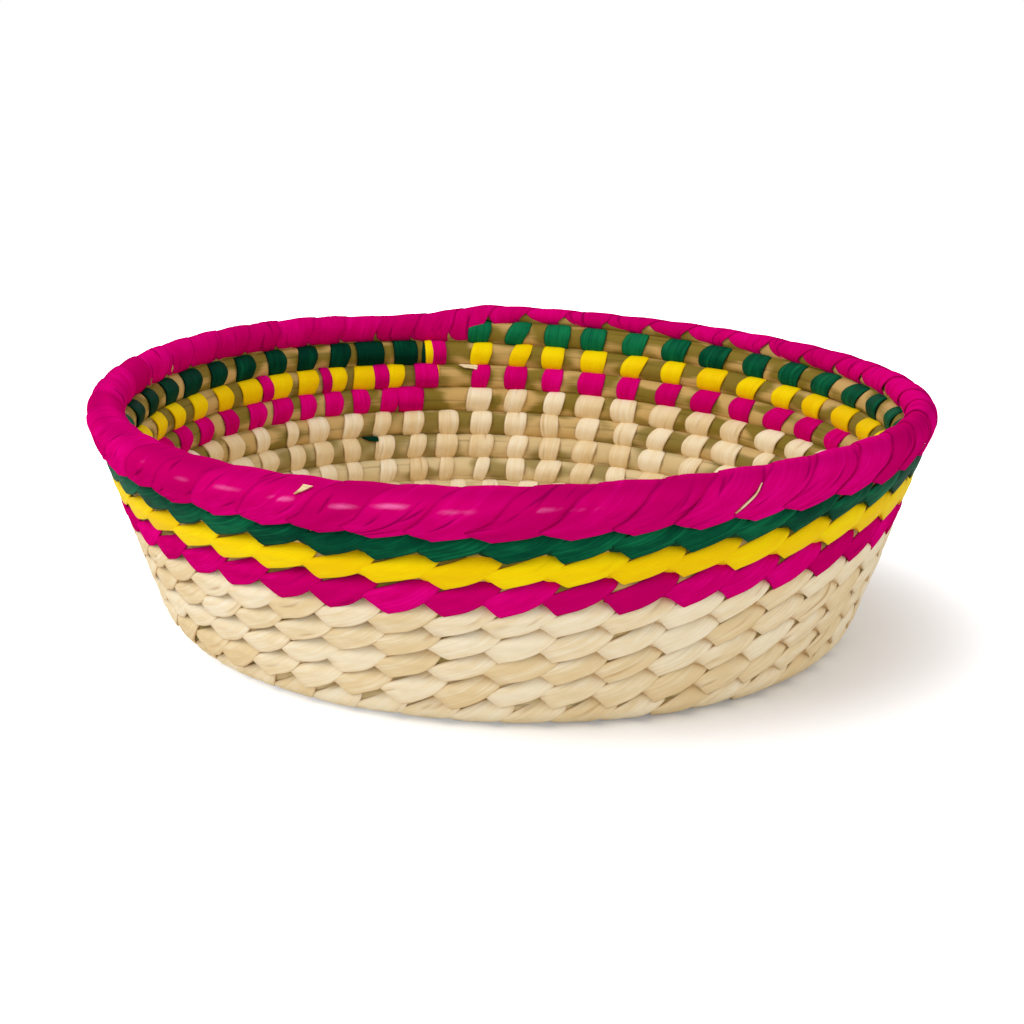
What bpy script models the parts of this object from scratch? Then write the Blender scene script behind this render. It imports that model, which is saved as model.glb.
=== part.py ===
"""A coiled and sewn palm basket for tortillas.

One bundle of palm fibre winds from the middle of the base, out to the foot of the
wall and up to the rim. Strips of palm leaf are wound round the bundle and draw
each row down onto the one below. A strip is as long as a leaf gives, so each row
takes several, and every strip is an object of its own.
"""

import math

import bpy
from mathutils import Vector

# Driving dimensions, in metres, radians and turns
BASE_RADIUS = 0.110  # from the axis to the foot of the wall, along the middle of the rows
WALL_LENGTH = 0.0735  # up the slope from the foot to the middle of the rim
BEND_LENGTH = 0.012  # over which the flat base turns up into the wall
FOOT_SLOPE = math.radians(70)  # of the wall above the bend, from level
RIM_SLOPE = math.radians(72)

BUNDLE_WIDTH = 0.0066  # of the fibre bundle, without its strips
RIM_BUNDLE_WIDTH = 0.0092  # where the rim's bundle is fattest
THIN_BUNDLE_WIDTH = 0.0046  # where it has thinned and comes round to the rim's start
END_BUNDLE_WIDTH = 0.0016  # at its very end
STRIP_THICKNESS = 0.0005  # of a leaf strip at its midrib
CROWN = 0.0005  # by which the midrib stands out further, over the wall's outside
CLEARANCE = 0.0004  # between a strip and what it is wound on or lies against
SPLICE_GAP = 0.0010  # between the tail of one strip and the start of the next

# Hand-made unevenness at the rim: (waves round the basket, cosine part, sine part)
HEIGHT_WAVES = ((1, 0.0002, 0.0036), (2, -0.0002, -0.0018))
RADIUS_WAVES = ((1, -0.0003, 0.0012), (2, -0.0006, 0.0007), (3, 0.0001, 0.0008))
# And of the stitches' places round the wall, in radians, which grows over its first turns
SPACING_WAVES = ((1, 0.034, 0.072), (2, -0.015, 0.033))
SPACING_TURNS = 2.5

# Stitches to a turn, each a multiple of the next, so that the facets of two rows nest
WALL_STITCHES = 48
BASE_STITCHES = 16
CENTRE_STITCHES = 8
CENTRE_TURNS = 3.5
FOOT_STITCHES = 2  # of the base, whose rows already turn up and so have the wall's strips

RIM_ANGLE = math.radians(87.6)  # where the rim's wrap starts, before the spacing waves
TAIL_STITCHES = 3  # with which the bundle's end laps over the rim's start
COLOUR_ROWS = ("magenta", "yellow", "green")  # upwards, below the rim
STRIPS_PER_ROW = 4
STITCHES_PER_WALL_STRIP = 15
STITCHES_PER_BASE_STRIP = 14

# Shares of one stitch's place along the bundle
OUTSIDE_SHARE = 0.95  # covered by the broad leaf on the outside and underneath
INSIDE_SHARE = 0.52  # covered by the narrow band on the inside

# Shares of the rim's turn, for the bundle that swells and then thins to its end
SWELL_SHARE = 0.12
THINNING_SHARE = 0.45

# Worked out from the above
BUNDLE_HALF = BUNDLE_WIDTH / 2
ROW_REACH = BUNDLE_HALF + CLEARANCE + STRIP_THICKNESS  # from a row's middle to its outer face
ROW_PITCH = ROW_REACH + ROW_REACH + CLEARANCE  # from each row of the coil to the next
RIM_SWELL = (RIM_BUNDLE_WIDTH - BUNDLE_WIDTH) / 2
BEND_START = BASE_RADIUS - BEND_LENGTH / 2
BEND_CURVE = FOOT_SLOPE / BEND_LENGTH
WALL_CURVE = (RIM_SLOPE - FOOT_SLOPE) / (WALL_LENGTH - BEND_LENGTH / 2)
START_TURN = (ROW_REACH + CLEARANCE) / ROW_PITCH
WALL_TURN = BEND_START / ROW_PITCH
RIM_TURN = (BASE_RADIUS + WALL_LENGTH - RIM_SWELL) / ROW_PITCH - 1 / 2
CROWN_SHARE = CROWN / BASE_RADIUS
TAIL_SHARE = TAIL_STITCHES / WALL_STITCHES
END_TURN = RIM_TURN + 1 + TAIL_SHARE

# Linear colour, roughness
FINISHES = {
    "natural": ((0.78, 0.62, 0.38), 0.55),
    "magenta": ((0.60, 0.001, 0.13), 0.45),
    "yellow": ((0.92, 0.58, 0.004), 0.50),
    "green": ((0.012, 0.10, 0.055), 0.50),
    "bundle": ((0.26, 0.17, 0.055), 0.80),
}


def clear_scene():
    for found in list(bpy.data.objects):
        bpy.data.objects.remove(found)


def make_material(name):
    colour, roughness = FINISHES[name]
    material = bpy.data.materials.new(f"palm_{name}")
    material.use_nodes = True
    shader = material.node_tree.nodes["Principled BSDF"]
    shader.inputs["Base Color"].default_value = (*colour, 1)
    shader.inputs["Roughness"].default_value = roughness
    shader.inputs["Metallic"].default_value = 0
    return material


def clamp(value, low=0, high=1):
    return max(low, min(high, value))


def ease(share):
    """A share from 0 to 1 that starts and ends gently."""
    share = clamp(share)
    return share * share * (3 - 2 * share)


def meridian(along):
    """Distance from the axis, height and slope of the rows' middle, along the basket's section."""
    slope = clamp(along - BEND_START, 0, BEND_LENGTH) * BEND_CURVE
    up_wall = max(along - BEND_START - BEND_LENGTH, 0)
    top_slope = slope + up_wall * WALL_CURVE
    radius = min(along, BEND_START) + math.sin(slope) / BEND_CURVE
    radius += (math.sin(top_slope) - math.sin(slope)) / WALL_CURVE
    height = ROW_REACH + (1 - math.cos(slope)) / BEND_CURVE
    height += (math.cos(slope) - math.cos(top_slope)) / WALL_CURVE
    return radius, height, top_slope


def waves(table, angle):
    return sum(c * math.cos(n * angle) + s * math.sin(n * angle) for n, c, s in table)


def surface_point(angle, along, outwards):
    """A point beside the basket's section: outwards is below the base and outside the wall."""
    radius, height, slope = meridian(along)
    up_share = ease((along - BASE_RADIUS) / WALL_LENGTH)
    radius += outwards * math.sin(slope) + waves(RADIUS_WAVES, angle) * up_share
    height += waves(HEIGHT_WAVES, angle) * up_share - outwards * math.cos(slope)
    return Vector((radius * math.cos(angle), radius * math.sin(angle), height))


def bundle_half(turn):
    """Half the bundle's width, which swells at the rim, thins on the way round and tapers to its end."""
    share = turn - RIM_TURN
    thinned = ease((share - (1 - THINNING_SHARE)) / THINNING_SHARE)
    tapered = ease((share - 1) / TAIL_SHARE)
    half = BUNDLE_HALF + RIM_SWELL * ease(share / SWELL_SHARE)
    half += (THIN_BUNDLE_WIDTH / 2 - half) * thinned
    return half + (END_BUNDLE_WIDTH / 2 - half) * tapered


def row_middle(turn):
    """How far along the basket's section a row lies, seated on the row below."""
    swell, swell_below = bundle_half(turn) - BUNDLE_HALF, bundle_half(turn - 1) - BUNDLE_HALF
    return turn * ROW_PITCH + swell + 2 * swell_below


class Knot:
    """A corner of the faceted bundle, where one stitch's place ends and the next begins."""

    def __init__(self, turn):
        even_angle = RIM_ANGLE + 2 * math.pi * (turn - RIM_TURN)
        spacing_share = ease((turn - WALL_TURN) / SPACING_TURNS)
        self.angle = even_angle + waves(SPACING_WAVES, even_angle) * spacing_share
        self.half = bundle_half(turn)
        self.along = row_middle(turn)
        self.slope = meridian(self.along)[2]
        self.squeeze = 1

    def corner(self, up, out, gap):
        """The point that lies gap off the bundle's face, at shares up and out of its reach."""
        reach = self.half + gap
        along = self.along + up * reach * self.squeeze
        return surface_point(self.angle, along, out * reach)


def knot_turns():
    """The turn of each knot, from the middle of the base to the rim."""
    turns = [END_TURN]
    zones = ((WALL_TURN, WALL_STITCHES), (CENTRE_TURNS, BASE_STITCHES), (START_TURN, CENTRE_STITCHES))
    for lowest, stitches in zones:
        while turns[-1] - 1 / stitches >= lowest:
            turns.append(turns[-1] - 1 / stitches)
    return turns[::-1]


def squeeze(knots):
    """Narrows the rows to suit their facets, because chords lie closer together than their ends do."""
    for before, knot, after in zip(knots, knots[1:], knots[2:]):
        widest = max(knot.angle - before.angle, after.angle - knot.angle)
        knot.squeeze = math.cos(widest / 2)
    knots[0].squeeze = knots[1].squeeze


def along_facet(knots, place, share, up, out, gap):
    """A point over the facet between two knots, on the true arc where it is outside the wall."""
    start, end = knots[place], knots[place + 1]
    point = start.corner(up, out, gap).lerp(end.corner(up, out, gap), share)
    if out > 0:
        sag_share = 4 * share * (1 - share) * math.sin((end.angle - start.angle) / 2) ** 2
        crown_share = CROWN_SHARE if gap > CLEARANCE else 0
        stretch = 1 + (1 / math.sqrt(1 - sag_share) - 1 + crown_share) * math.sin(start.slope)
        point.x *= stretch
        point.y *= stretch
    return point


def add_object(name, points, faces, material):
    mesh = bpy.data.meshes.new(name)
    mesh.from_pydata(points, [], faces)
    mesh.materials.append(material)
    made = bpy.data.objects.new(name, mesh)
    bpy.context.scene.collection.objects.link(made)
    return made


def add_bundle(knots, material):
    """The foundation: one unbroken four-sided tube through every knot."""
    corners = ((-1, -1), (-1, 1), (1, 1), (1, -1))
    points = [knot.corner(up, out, 0) for knot in knots for up, out in corners]
    sides = len(corners)
    faces = [tuple(range(sides))]
    for ring in range(len(knots) - 1):
        first = ring * sides
        for side in range(sides):
            here, beside = first + side, first + (side + 1) % sides
            faces.append((here, here + sides, beside + sides))
            faces.append((here, beside + sides, beside))
    last = (len(knots) - 1) * sides
    faces.append(tuple(last + side for side in reversed(range(sides))))
    return add_object("foundation_coil", points, faces, material)


def section(knots, place, width_share, up, out, flat_outside):
    """Three points across a strip: its two edges and its midrib between them."""
    edge_gap, rib_gap = CLEARANCE, CLEARANCE + STRIP_THICKNESS
    if flat_outside:
        edge_gap, rib_gap = rib_gap, edge_gap
    margin = (1 - width_share) / 2
    stops = ((margin, edge_gap), (1 / 2, rib_gap), (1 - margin, edge_gap))
    return [along_facet(knots, place, share, up, out, gap) for share, gap in stops]


def strip_sections(knots, first, last, flat_outside):
    """The sections of one strip, from its start between two rows, round each stitch, to its tail."""
    tuck = SPLICE_GAP / 2 / ROW_REACH
    tuck_share = (OUTSIDE_SHARE + INSIDE_SHARE) / 2

    def cut(place, width_share, up, out):
        return section(knots, place, width_share, up, out, flat_outside)

    sections = [cut(first, tuck_share, -1, tuck)]
    for place in range(first, last):
        sections.append(cut(place, OUTSIDE_SHARE, -1, 1))
        sections.append(cut(place + 1, OUTSIDE_SHARE, 1, 1))
        sections.append(cut(place + 1, INSIDE_SHARE, 1, -1))
        sections.append(cut(place + 1, INSIDE_SHARE, -1, -1))
    sections.append(cut(last, tuck_share, -1, -tuck))
    return sections


def add_strip(name, knots, first, last, material, flat_outside=False):
    """A strip of leaf: a band with a midrib, wound once round the bundle for each stitch."""
    sections = strip_sections(knots, first, last, flat_outside)
    points = [point for across in sections for point in across]
    left, rib, right = 0, 1, 2
    faces = [(left, right, rib)]
    for here in range(0, len(points) - 3, 3):
        there = here + 3
        for a, b in ((left, rib), (rib, right)):
            faces.append((here + a, here + b, there + a))
            faces.append((here + b, there + b, there + a))
        faces.append((here + left, there + left, here + right))
        faces.append((here + right, there + left, there + right))
    tail = len(points) - 3
    faces.append((tail + left, tail + rib, tail + right))
    if flat_outside:
        faces = [face[::-1] for face in faces]
    return add_object(name, points, faces, material)


def add_strips(name, knots, first, last, count, material, flat_outside=False):
    """Strips one after another over the places from first to last, of about equal length."""
    stops = [first + round((last - first) * number / count) for number in range(count + 1)]
    for number in range(count):
        label = f"{name}_{number + 1:02d}"
        add_strip(label, knots, stops[number], stops[number + 1], material, flat_outside)


def least_gap(knots):
    """The least distance between the top of the bundle's rows and the underside of the next."""
    shares = (0, 1 / 2)
    tops, undersides = [], []
    for place in range(len(knots) - 1):
        for share in shares:
            for out in (-1, 1):
                angle = knots[place].angle + share * (knots[place + 1].angle - knots[place].angle)
                for up, found in ((1, tops), (-1, undersides)):
                    start, end = knots[place].corner(up, out, 0), knots[place + 1].corner(up, out, 0)
                    found.append((angle, start.lerp(end, share)))
    least = math.inf
    low = 0
    for angle, top in tops:
        while low < len(undersides) and undersides[low][0] < angle + math.pi:
            low += 1
        for next_angle, underside in undersides[low:]:
            if next_angle > angle + 3 * math.pi:
                break
            least = min(least, (top - underside).length)
    return least


def main():
    clear_scene()
    materials = {name: make_material(name) for name in FINISHES}
    turns = knot_turns()
    knots = [Knot(turn) for turn in turns]
    squeeze(knots)
    add_bundle(knots, materials["bundle"])

    end_place = len(knots) - 1
    rim_first = end_place - WALL_STITCHES - TAIL_STITCHES
    add_strips("rim_wrap", knots, rim_first, end_place - 1, STRIPS_PER_ROW, materials["magenta"])
    last = rim_first
    for rows, colour in enumerate(reversed(COLOUR_ROWS), start=1):
        first = rim_first - WALL_STITCHES * rows
        add_strips(f"{colour}_strip", knots, first, last, STRIPS_PER_ROW, materials[colour])
        last = first

    wall_first = next(place for place, turn in enumerate(turns) if turn >= WALL_TURN) - FOOT_STITCHES
    wall_count = round((last - wall_first) / STITCHES_PER_WALL_STRIP)
    add_strips("natural_strip", knots, wall_first, last, wall_count, materials["natural"])
    base_count = round(wall_first / STITCHES_PER_BASE_STRIP)
    add_strips("base_strip", knots, 0, wall_first, base_count, materials["natural"], flat_outside=True)
    print(f"The bundle winds {END_TURN - START_TURN:.1f} turns, with {least_gap(knots) * 1000:.2f} mm between them.")


main()
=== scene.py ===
"""A coiled and sewn palm basket for tortillas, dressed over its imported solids.

The bundle of palm fibre, and every strip of leaf that is wound round it, are built
from the same path and the same stitch places as the solids, and each stands for the
solid of its own name.
"""

import logging
import math
from dataclasses import dataclass
from enum import Enum
from typing import Any, Optional, Sequence, Union

import bpy
import numpy as np
from mathutils import Matrix, Vector


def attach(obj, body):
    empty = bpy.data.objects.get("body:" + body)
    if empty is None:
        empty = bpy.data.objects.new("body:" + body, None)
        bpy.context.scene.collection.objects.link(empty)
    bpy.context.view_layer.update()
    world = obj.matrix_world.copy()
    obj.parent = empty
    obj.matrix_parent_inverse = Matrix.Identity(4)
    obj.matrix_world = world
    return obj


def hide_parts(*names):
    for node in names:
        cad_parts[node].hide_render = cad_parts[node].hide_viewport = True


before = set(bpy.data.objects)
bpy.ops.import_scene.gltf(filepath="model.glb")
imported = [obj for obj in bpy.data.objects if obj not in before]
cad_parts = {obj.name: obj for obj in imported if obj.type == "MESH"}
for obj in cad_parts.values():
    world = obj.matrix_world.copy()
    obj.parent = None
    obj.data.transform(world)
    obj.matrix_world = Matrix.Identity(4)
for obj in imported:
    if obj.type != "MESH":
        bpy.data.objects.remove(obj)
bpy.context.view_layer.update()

Array = np.ndarray
Vector3 = tuple[float, float, float]
log = logging.getLogger("basket")

BODY = "root"
WHITE = (1.0, 1.0, 1.0, 1.0)


class Colour(Enum):
    """The dyes that a strip of leaf comes in."""

    NATURAL = "natural"
    MAGENTA = "magenta"
    YELLOW = "yellow"
    GREEN = "green"


class Wrap(Enum):
    """How a strip goes round the bundle."""

    BASE = "flat under the base"
    WALL = "a folded leaf outside the wall and a narrow band inside it"
    RIM = "closely lapped round the rim"
    BAND = "a short band that shows only inside the wall"
    SCRAP = "the upper end of such a band"
    THREAD = "a torn thread beside a wrap of the rim"
    FLECK = "a bare corner on the top of the rim"


@dataclass(frozen=True)
class Wave:
    """One wave of hand-made unevenness round the basket.

    Args:
        count: how many times it rises and falls round the basket
        cosine: the size of its cosine part
        sine: the size of its sine part
    """

    count: int
    cosine: float
    sine: float

    def at(self, angle: Array) -> Array:
        """The wave's height at an angle round the basket."""
        return self.cosine * np.cos(self.count * angle) + self.sine * np.sin(self.count * angle)


def ease(share: Array) -> Array:
    """A share from 0 to 1 that starts and ends gently."""
    held = np.clip(share, 0, 1)
    return held * held * (3 - 2 * held)


def pressed(points: Array, depth: float = 0.0012) -> Array:
    """Points with the lowest of them pressed flat, so that none goes through the floor.

    Args:
        points: coordinates, along the last axis
        depth: the height from which they are pressed

    Returns:
        the points
    """
    height = points[..., 2]
    flat = depth * np.exp(np.minimum(height / depth - 1, 0))
    return np.concatenate([points[..., :2], np.where(height < depth, flat, height)[..., None]], axis=-1)


@dataclass(frozen=True)
class Coil:
    """The path of the bundle, from the middle of the base to the tail at the rim.

    A place on it is a turn, counted from the middle, and a point beside it is that
    place with distances up the basket's section and outwards from it, in metres.
    """

    base_radius: float = 0.110
    wall_length: float = 0.0735
    bend_length: float = 0.012
    foot_slope: float = math.radians(70)
    rim_slope: float = math.radians(72)
    bundle_width: float = 0.0066
    rim_bundle_width: float = 0.0092
    thin_bundle_width: float = 0.0046
    end_bundle_width: float = 0.0016
    strip_room: float = 0.0009
    clearance: float = 0.0004
    height_waves: tuple[Wave, ...] = (Wave(1, 0.0002, 0.0036), Wave(2, -0.0002, -0.0018))
    radius_waves: tuple[Wave, ...] = (
        Wave(1, -0.0003, 0.0012), Wave(2, -0.0006, 0.0007), Wave(3, 0.0001, 0.0008),
    )
    spacing_waves: tuple[Wave, ...] = (Wave(1, 0.034, 0.072), Wave(2, -0.015, 0.033))
    spacing_turns: float = 2.5
    wall_stitches: int = 48
    base_stitches: int = 16
    centre_stitches: int = 8
    centre_turns: float = 3.5
    foot_stitches: int = 2
    rim_angle: float = math.radians(87.6)
    tail_stitches: int = 3
    swell_share: float = 0.12
    thinning_share: float = 0.45
    first_corner: float = 0.285
    tail_lead: float = 0.6
    tail_blend: float = 1.6
    tail_slimming: float = 0.94
    tail_grip_up: float = 1.04
    tail_grip_out: float = 1.07

    @property
    def half(self) -> float:
        """Half the width of the wall's bundle."""
        return self.bundle_width / 2

    @property
    def reach(self) -> float:
        """From the middle of a wall row to its outer face."""
        return self.half + self.strip_room

    @property
    def pitch(self) -> float:
        """From each row to the next."""
        return 2 * self.reach + self.clearance

    @property
    def rim_swell(self) -> float:
        """By how much the rim's bundle reaches further than the others."""
        return (self.rim_bundle_width - self.bundle_width) / 2

    @property
    def bend_start(self) -> float:
        """Where along the section the flat base begins to turn up."""
        return self.base_radius - self.bend_length / 2

    @property
    def start_turn(self) -> float:
        """The turn of the bundle's first end."""
        return (self.reach + self.clearance) / self.pitch

    @property
    def wall_turn(self) -> float:
        """The turn at which the base begins to turn up."""
        return self.bend_start / self.pitch

    @property
    def rim_turn(self) -> float:
        """The turn at which the rim's row starts."""
        return (self.base_radius + self.wall_length - self.rim_swell) / self.pitch - 1 / 2

    @property
    def tail_share(self) -> float:
        """The length of the tail that laps over the rim's start, in turns."""
        return self.tail_stitches / self.wall_stitches

    @property
    def end_turn(self) -> float:
        """The turn of the bundle's last end."""
        return self.rim_turn + 1 + self.tail_share

    def meridian(self, along: Array) -> tuple[Array, Array, Array]:
        """The basket's section.

        Args:
            along: distances from the axis along the section

        Returns:
            the distance from the axis, the height and the slope at each
        """
        bend_curve = self.foot_slope / self.bend_length
        wall_curve = (self.rim_slope - self.foot_slope) / (self.wall_length - self.bend_length / 2)
        slope = np.clip(along - self.bend_start, 0, self.bend_length) * bend_curve
        top_slope = slope + np.maximum(along - self.bend_start - self.bend_length, 0) * wall_curve
        radius = np.minimum(along, self.bend_start) + np.sin(slope) / bend_curve
        radius = radius + (np.sin(top_slope) - np.sin(slope)) / wall_curve
        height = self.reach + (1 - np.cos(slope)) / bend_curve
        height = height + (np.cos(slope) - np.cos(top_slope)) / wall_curve
        return radius, height, top_slope

    def bundle_half(self, turn: Array) -> Array:
        """Half the bundle's width, which swells at the rim, thins on the way round and tapers."""
        share = turn - self.rim_turn
        half = self.half + self.rim_swell * ease(share / self.swell_share)
        thinned = ease((share - (1 - self.thinning_share)) / self.thinning_share)
        half = half + (self.thin_bundle_width / 2 - half) * thinned
        tapered = ease((share - 1) / self.tail_share)
        return half + (self.end_bundle_width / 2 - half) * tapered

    def row_reach(self, turn: Array) -> Array:
        """From a row's middle to its outer face."""
        return self.bundle_half(turn) + self.strip_room

    def wrapped(self, turn: Array) -> tuple[Array, Array, Array]:
        """What a strip goes round: one row, and at the tail that row with the one below.

        Args:
            turn: places on the path

        Returns:
            how far its middle lies from the row's, its reach up the section and its reach outwards
        """
        reach, below = self.row_reach(turn), self.row_reach(turn - 1)
        past = turn - self.rim_turn - 1
        share = ease((past * self.wall_stitches + self.tail_lead) / self.tail_blend)
        slim = reach * (1 - self.tail_slimming * ease(past / self.tail_share * 0.95))
        top = self.row_middle(turn) - reach + 2 * slim
        bottom = self.row_middle(turn - 1) - below * self.tail_grip_up
        middle = ((top + bottom) / 2 - self.row_middle(turn)) * share
        tall = reach + ((top - bottom) / 2 - reach) * share
        return middle, tall, reach + (below * self.tail_grip_out - reach) * share

    def row_middle(self, turn: Array) -> Array:
        """How far along the section a row lies, seated on the row below."""
        swell = self.bundle_half(turn) - self.half
        swell_below = self.bundle_half(turn - 1) - self.half
        return turn * self.pitch + swell + 2 * swell_below

    def angle(self, turn: Array) -> Array:
        """The angle round the basket of a place on the path."""
        even = self.rim_angle + math.tau * (turn - self.rim_turn)
        uneven = sum(wave.at(even) for wave in self.spacing_waves)
        return even + uneven * ease((turn - self.wall_turn) / self.spacing_turns)

    def point(self, turn: Array, up: Array, out: Array) -> Array:
        """Points beside the path.

        Args:
            turn: their places on the path
            up: how far they lie up the section from the row's middle
            out: how far they lie outside it, which is below the base

        Returns:
            their coordinates, along the last axis
        """
        angle = self.angle(turn)
        along = self.row_middle(turn) + up
        radius, height, slope = self.meridian(along)
        up_share = ease((along - self.base_radius) / self.wall_length)
        radius = radius + out * np.sin(slope) + sum(w.at(angle) for w in self.radius_waves) * up_share
        height = height + sum(w.at(angle) for w in self.height_waves) * up_share - out * np.cos(slope)
        return np.stack([radius * np.cos(angle), radius * np.sin(angle), height], axis=-1)

    def stitch(self, turn: Array) -> Array:
        """The stitch count at a place, 0 where the rim starts, with stitches of even length in the base."""
        in_wall = (np.maximum(turn, self.wall_turn) - self.rim_turn) * self.wall_stitches
        missing = self.wall_turn**2 - np.minimum(turn, self.wall_turn) ** 2
        return in_wall - missing * self.wall_stitches / (2 * self.wall_turn)

    def turn(self, stitch: Array) -> Array:
        """The place of a stitch count, the inverse of stitch."""
        foot = (self.wall_turn - self.rim_turn) * self.wall_stitches
        in_wall = self.rim_turn + np.maximum(stitch, foot) / self.wall_stitches
        missing = (foot - np.minimum(stitch, foot)) * 2 * self.wall_turn / self.wall_stitches
        return np.where(stitch >= foot, in_wall, np.sqrt(np.maximum(self.wall_turn**2 - missing, 0.04)))

    def knots(self) -> list[float]:
        """The places where the solids' bundle has its corners."""
        turns = [self.end_turn]
        zones = (
            (self.wall_turn, self.wall_stitches),
            (self.centre_turns, self.base_stitches),
            (self.start_turn, self.centre_stitches),
        )
        for lowest, stitches in zones:
            while turns[-1] - 1 / stitches >= lowest:
                turns.append(turns[-1] - 1 / stitches)
        return turns[::-1]


@dataclass(frozen=True)
class StripSpan:
    """The stretch of the path that one strip covers.

    Args:
        name: the solid that it stands for
        colour: its dye
        wrap: how it goes round the bundle
        start: the place where it starts, in turns
        end: the place where it ends, in turns
    """

    name: str
    colour: Colour
    wrap: Wrap
    start: float
    end: float


@dataclass(frozen=True)
class StripPlan:
    """Which strips cover which part of the path, counted as in the solids."""

    coil: Coil
    strips_per_row: int = 4
    wall_strip_stitches: int = 15
    base_strip_stitches: int = 14

    def spans(self) -> list[StripSpan]:
        """Every strip of the basket, from the rim inwards."""
        coil = self.coil
        turns = coil.knots()
        end_place = len(turns) - 1
        last = end_place - coil.wall_stitches - coil.tail_stitches
        per_row = self.strips_per_row
        found = self.shared("rim_wrap", Colour.MAGENTA, Wrap.RIM, turns, last, end_place - 1, per_row)
        for colour in (Colour.GREEN, Colour.YELLOW, Colour.MAGENTA):
            first = last - coil.wall_stitches
            found += self.shared(f"{colour.value}_strip", colour, Wrap.WALL, turns, first, last, per_row)
            last = first
        foot = next(place for place, turn in enumerate(turns) if turn >= coil.wall_turn) - coil.foot_stitches
        count = round((last - foot) / self.wall_strip_stitches)
        found += self.shared("natural_strip", Colour.NATURAL, Wrap.WALL, turns, foot, last, count)
        count = round(foot / self.base_strip_stitches)
        found += self.shared("base_strip", Colour.NATURAL, Wrap.BASE, turns, 0, foot, count)
        return found

    @staticmethod
    def shared(
        name: str, colour: Colour, wrap: Wrap, turns: list[float], first: int, last: int, count: int
    ) -> list[StripSpan]:
        """Strips of about equal length, one after another.

        Args:
            name: what their names start with
            colour: their dye
            wrap: how they go round the bundle
            turns: the turn of each place
            first: the place where the first starts
            last: the place where the last ends
            count: how many there are

        Returns:
            the strips' spans
        """
        stops = [turns[first + round((last - first) * number / count)] for number in range(count + 1)]
        return [
            StripSpan(f"{name}_{number:02d}", colour, wrap, start, end)
            for number, (start, end) in enumerate(zip(stops, stops[1:]), start=1)
        ]


@dataclass(frozen=True)
class Station:
    """A place on a strip's way round the bundle.

    Stitches are counted from the leaf's upper left corner, and up and out are shares
    of the row's reach.

    Args:
        left: the stitch count, up and out of the strip's left edge
        right: the same of its right edge
        steps: how many mesh rows lead to the next place
        crisp: whether the strip is folded sharply there
    """

    left: Vector3
    right: Vector3
    steps: int = 3
    crisp: bool = False


# Each kind of wrap's stations, from a leaf's upper left corner outside, over the top and down inside.
WALL_STATIONS = (
    Station((0.06, -0.70, 0.60), (0.46, -1.20, 0.56), 2),
    Station((0.01, -0.30, 0.86), (0.46, -1.32, 0.84), 2),
    Station((0.00, -0.10, 0.95), (0.42, -1.46, 1.00), 6, crisp=True),
    Station((0.32, 0.40, 0.94), (0.83, -0.94, 1.03), 6),
    Station((0.64, 0.80, 0.72), (1.16, -0.14, 1.03), 5),
    Station((0.88, 1.02, 0.30), (1.36, 0.68, 0.80), 4),
    Station((0.96, 1.04, -0.15), (1.46, 1.04, 0.05), 3),
    Station((0.95, 0.84, -0.66), (1.49, 0.82, -0.66), 5),
    Station((0.94, 0.00, -1.09), (1.54, 0.00, -1.09), 5),
    Station((0.99, -0.82, -0.70), (1.52, -0.82, -0.70), 3),
    Station((1.01, -1.08, -0.10), (1.46, -1.10, -0.10), 3),
)
RIM_STATIONS = (
    Station((0.04, -0.95, 0.50), (0.50, -1.16, 0.60), 2),
    Station((0.00, -0.84, 0.86), (0.46, -1.28, 0.84), 2),
    Station((0.00, -0.76, 0.98), (0.46, -1.34, 1.00), 5, crisp=True),
    Station((0.10, -0.24, 1.02), (0.94, -1.02, 0.95), 6),
    Station((0.26, 0.36, 0.99), (1.44, -0.34, 0.93), 6),
    Station((0.42, 0.84, 0.60), (1.76, 0.42, 0.85), 6),
    Station((0.64, 1.03, 0.04), (1.96, 0.96, 0.06), 6),
    Station((0.82, 0.84, -0.60), (2.06, 0.78, -0.59), 5),
    Station((1.02, 0.10, -1.05), (2.14, 0.00, -0.98), 5),
    Station((1.18, -0.66, -0.82), (2.12, -0.78, -0.68), 3),
    Station((1.12, -0.98, -0.16), (1.70, -1.04, -0.10), 3),
)
BASE_STATIONS = (
    Station((0.05, -0.94, 0.40), (0.84, -0.98, 0.40), 3),
    Station((0.04, -0.62, 0.92), (0.86, -0.66, 0.92), 3),
    Station((0.10, 0.00, 0.99), (1.00, 0.00, 0.99), 4),
    Station((0.42, 0.66, 0.92), (1.32, 0.62, 0.92), 3),
    Station((0.80, 0.98, 0.40), (1.50, 0.96, 0.40), 3),
    Station((0.97, 1.03, 0.00), (1.47, 1.03, 0.00), 3),
    Station((0.96, 0.80, -0.66), (1.48, 0.80, -0.66), 4),
    Station((0.94, 0.00, -1.07), (1.53, 0.00, -1.07), 4),
    Station((0.99, -0.80, -0.68), (1.50, -0.80, -0.68), 3),
    Station((0.99, -1.04, -0.10), (1.50, -1.04, -0.10), 3),
)
BAND_STATIONS = (
    Station((0.97, 1.06, 0.10), (1.46, 1.06, 0.10), 3),
    Station((0.99, 0.92, -0.74), (1.48, 0.90, -0.74), 5),
    Station((0.98, 0.00, -1.22), (1.50, 0.00, -1.22), 5),
    Station((0.99, -0.90, -0.78), (1.48, -0.90, -0.78), 3),
    Station((1.00, -1.08, 0.05), (1.45, -1.10, 0.05), 3),
)
SCRAP_STATIONS = (
    Station((0.98, 1.05, -0.10), (1.56, 1.05, -0.10), 3),
    Station((0.96, 0.88, -0.84), (1.54, 0.92, -0.84), 3),
    Station((1.00, 0.52, -1.14), (1.42, 0.66, -1.10), 2),
)
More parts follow.
